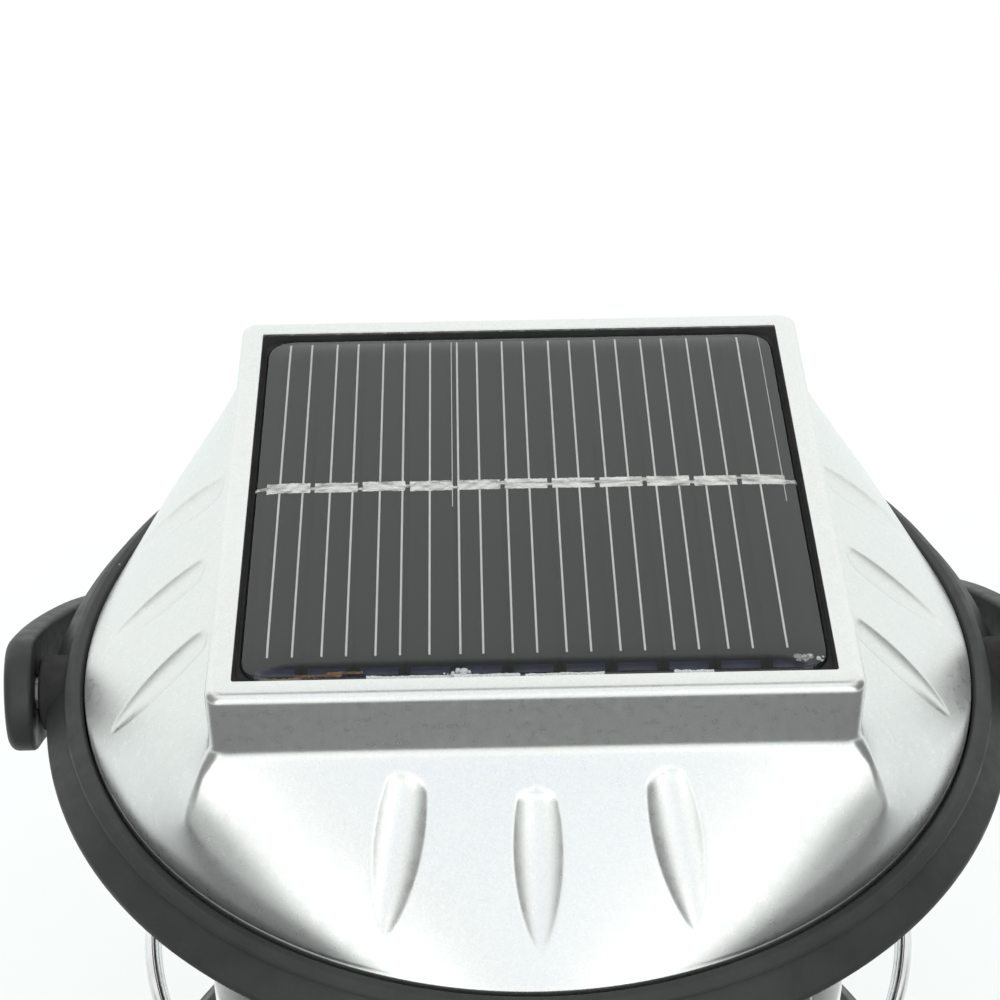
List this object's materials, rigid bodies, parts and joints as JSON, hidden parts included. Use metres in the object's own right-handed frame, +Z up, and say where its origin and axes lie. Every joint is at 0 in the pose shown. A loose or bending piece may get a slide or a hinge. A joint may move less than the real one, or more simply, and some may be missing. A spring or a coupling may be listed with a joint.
{
  "type": "solar lantern",
  "caption": "Camping lantern with a square solar panel on a silver cap, black rings, clear globe in a chrome wire guard, swinging carry handle and a push button.",
  "frame": {"origin": "centre of the lantern's box in plan, on the surface that the rubber feet stand on", "axes": "+Z up along the lantern's axis, +X to the right seen from the front, the front with the power button faces -Y, the handle lies folded towards +Y, its pivots are on X"},
  "size_m": [0.121, 0.1116, 0.196],
  "materials": {
    "silver_paint": "satin metallic silver paint on moulded plastic, fine sparkle",
    "black_plastic": "matt moulded black plastic with a faint sheen",
    "black_rubber": "matt rubber",
    "chrome": "polished wire",
    "steel": "zinc plated screw heads",
    "clear_plastic": "clear polished plastic",
    "epoxy": "clear glossy potting resin",
    "silicon": "dark silicon strips with thin metal lines",
    "circuit_board": "black solder mask",
    "mirror_plastic": "bright metallised plastic",
    "led_lens": "water-clear lamp lens",
    "battery_sleeve": "shrink sleeve",
    "indicator_red": "tinted indicator lens"
  },
  "bodies": {
    "lantern": {"top_cap": "silver_paint", "cap_seal": "black_rubber", "panel_board": "circuit_board", "solar_cell_01": "silicon", "solar_cell_02": "silicon", "solar_cell_03": "silicon", "solar_cell_04": "silicon", "solar_cell_05": "silicon", "solar_cell_06": "silicon", "solar_cell_07": "silicon", "solar_cell_08": "silicon", "solar_cell_09": "silicon", "solar_cell_10": "silicon", "solar_cell_11": "silicon", "epoxy_cover": "epoxy", "upper_ring": "black_plastic", "lower_ring": "black_plastic", "globe": "clear_plastic", "globe_seal_upper": "black_rubber", "globe_seal_lower": "black_rubber", "guard_hoop": "chrome", "guard_rod_1": "chrome", "guard_rod_2": "chrome", "guard_rod_3": "chrome", "guard_rod_4": "chrome", "pivot_screw_left": "steel", "pivot_screw_right": "steel", "reflector_disc": "mirror_plastic", "led_board": "circuit_board", "led_1": "led_lens", "led_2": "led_lens", "led_3": "led_lens", "led_4": "led_lens", "led_5": "led_lens", "led_6": "led_lens", "reflector_cone": "mirror_plastic", "wiring_column": "mirror_plastic", "body_shell": "silver_paint", "button_bezel": "black_plastic", "charge_indicator": "indicator_red", "control_board": "circuit_board", "power_switch": "black_plastic", "battery_holder": "black_plastic", "battery_cell_1": "battery_sleeve", "battery_cell_2": "battery_sleeve", "battery_cell_3": "battery_sleeve", "base_plate": "black_plastic", "base_screw_1": "steel", "base_screw_2": "steel", "base_screw_3": "steel", "battery_door": "black_plastic", "door_screw": "steel", "rubber_foot_1": "black_rubber", "rubber_foot_2": "black_rubber", "rubber_foot_3": "black_rubber", "rubber_foot_4": "black_rubber"},
    "handle": {"handle": "black_plastic"},
    "button": {"power_button": "black_rubber"}
  },
  "joints": [
    {"name": "handle_swing", "type": "hinge", "parent": "lantern", "child": "handle", "pos_m": [0, 0, 0.1667], "axis": [1, 0, 0], "range_deg": [0, 236]},
    {"name": "power_press", "type": "slide", "parent": "lantern", "child": "button", "axis": [0, 1, 0], "range_m": [0, 0.0015], "stiffness_N_per_m": 400, "springref_m": -0.001}
  ]
}
